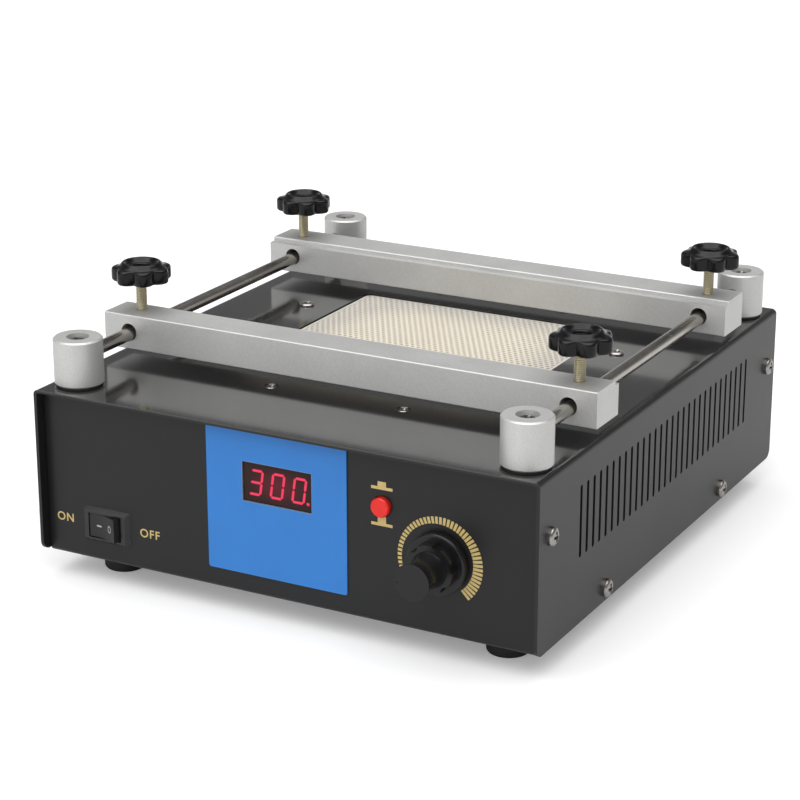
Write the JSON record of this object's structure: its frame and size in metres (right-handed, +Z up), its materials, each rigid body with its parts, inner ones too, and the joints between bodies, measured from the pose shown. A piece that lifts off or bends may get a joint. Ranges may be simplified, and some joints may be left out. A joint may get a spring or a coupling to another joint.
{
  "type": "pcb preheater",
  "caption": "Bench preheater for circuit boards: a black steel housing with a ceramic hot plate, aluminium bars that slide on rods, and a front panel with display, switch and dial.",
  "frame": {"origin": "on the bench, under the middle of the outline", "axes": "+X to the right, +Y to the back and +Z up; the front panel faces -Y"},
  "size_m": [0.2506, 0.29, 0.1326],
  "materials": {
    "black_paint": "semi-gloss charcoal-black paint",
    "plated_steel": "zinc-plated",
    "polished_steel": "polished",
    "satin_aluminium": "bead-blasted satin with bright edges",
    "yellow_zinc": "yellow zinc plating",
    "black_rubber": "matte",
    "gloss_black": "glossy moulded plastic",
    "matte_black": "matte moulded plastic",
    "cream_ceramic": "fine honeycomb ceramic",
    "quartz": "milky quartz",
    "white_fibre": "ceramic fibre",
    "blue_overlay": "printed film",
    "smoked_red": "smoked red filter",
    "display_body": "matte",
    "red_button": "moulded plastic",
    "circuit_board": "solder mask",
    "core_iron": "laminated",
    "copper": "enamelled winding"
  },
  "bodies": {
    "housing": {"cover": "black_paint", "base_tray": "black_paint", "side_screws": "plated_steel", "feet": "black_rubber", "foot_screws": "plated_steel", "foot_nuts": "plated_steel", "post_front_left": "satin_aluminium", "post_front_right": "satin_aluminium", "post_rear_left": "satin_aluminium", "post_rear_right": "satin_aluminium", "post_washers": "black_rubber", "post_clamp_screws": "yellow_zinc", "post_base_screws": "plated_steel", "rod_left": "polished_steel", "rod_right": "polished_steel", "heater_plate": "cream_ceramic", "heating_tubes": "quartz", "tube_supports": "white_fibre", "insulation_pad": "white_fibre", "heater_tray": "plated_steel", "thermocouple": "polished_steel", "flat_screws": "plated_steel", "domed_screws": "plated_steel", "plate_nuts": "plated_steel", "rocker_housing": "matte_black", "rocker_terminals": "polished_steel", "front_overlay": "blue_overlay", "display_window": "smoked_red", "led_display": "display_body", "display_board": "circuit_board", "display_standoffs": "plated_steel", "button_switch": "matte_black", "potentiometer": "plated_steel", "pot_nut": "plated_steel", "mains_inlet": "matte_black", "inlet_pins": "polished_steel", "inlet_screws": "plated_steel", "control_board": "circuit_board", "board_standoffs": "plated_steel", "board_components": "matte_black", "inner_screws": "plated_steel", "transformer_core": "core_iron", "transformer_coil": "copper", "transformer_strap": "plated_steel", "heat_sink": "satin_aluminium", "triac": "matte_black"},
    "front_bar_body": {"front_bar": "satin_aluminium"},
    "rear_bar_body": {"rear_bar": "satin_aluminium"},
    "thumbscrew_front_left": {"stud_front_left": "yellow_zinc", "knob_front_left": "gloss_black"},
    "thumbscrew_front_right": {"stud_front_right": "yellow_zinc", "knob_front_right": "gloss_black"},
    "thumbscrew_rear_left": {"stud_rear_left": "yellow_zinc", "knob_rear_left": "gloss_black"},
    "thumbscrew_rear_right": {"stud_rear_right": "yellow_zinc", "knob_rear_right": "gloss_black"},
    "rocker_body": {"rocker": "matte_black"},
    "button_body": {"push_button": "red_button"},
    "dial_body": {"dial_knob": "matte_black", "pot_shaft": "polished_steel"}
  },
  "joints": [
    {"name": "front_bar_slide", "type": "slide", "parent": "housing", "child": "front_bar_body", "axis": [0, 1, 0], "range_m": [-0.027, 0.051]},
    {"name": "rear_bar_slide", "type": "slide", "parent": "housing", "child": "rear_bar_body", "axis": [0, 1, 0], "range_m": [-0.058, 0.02]},
    {"name": "thumbscrew_front_left_turn", "type": "hinge", "parent": "front_bar_body", "child": "thumbscrew_front_left", "pos_m": [-0.109, -0.059, 0.117], "axis": [0, 0, 1], "range_deg": [0, 330]},
    {"name": "thumbscrew_front_right_turn", "type": "hinge", "parent": "front_bar_body", "child": "thumbscrew_front_right", "pos_m": [0.109, -0.059, 0.117], "axis": [0, 0, 1], "range_deg": [0, 330]},
    {"name": "thumbscrew_rear_left_turn", "type": "hinge", "parent": "rear_bar_body", "child": "thumbscrew_rear_left", "pos_m": [-0.109, 0.086, 0.117], "axis": [0, 0, 1], "range_deg": [0, 330]},
    {"name": "thumbscrew_rear_right_turn", "type": "hinge", "parent": "rear_bar_body", "child": "thumbscrew_rear_right", "pos_m": [0.109, 0.086, 0.117], "axis": [0, 0, 1], "range_deg": [0, 330]},
    {"name": "rocker_tilt", "type": "hinge", "parent": "housing", "child": "rocker_body", "pos_m": [-0.0894, -0.1205, 0.0285], "axis": [0, 0, 1], "range_deg": [0, 24]},
    {"name": "button_press", "type": "slide", "parent": "housing", "child": "button_body", "axis": [0, 1, 0], "range_m": [0, 0.0015], "stiffness_N_per_m": 300},
    {"name": "dial_turn", "type": "hinge", "parent": "housing", "child": "dial_body", "pos_m": [0.0758, -0.12, 0.0443], "axis": [0, 1, 0], "range_deg": [-15, 245]}
  ]
}
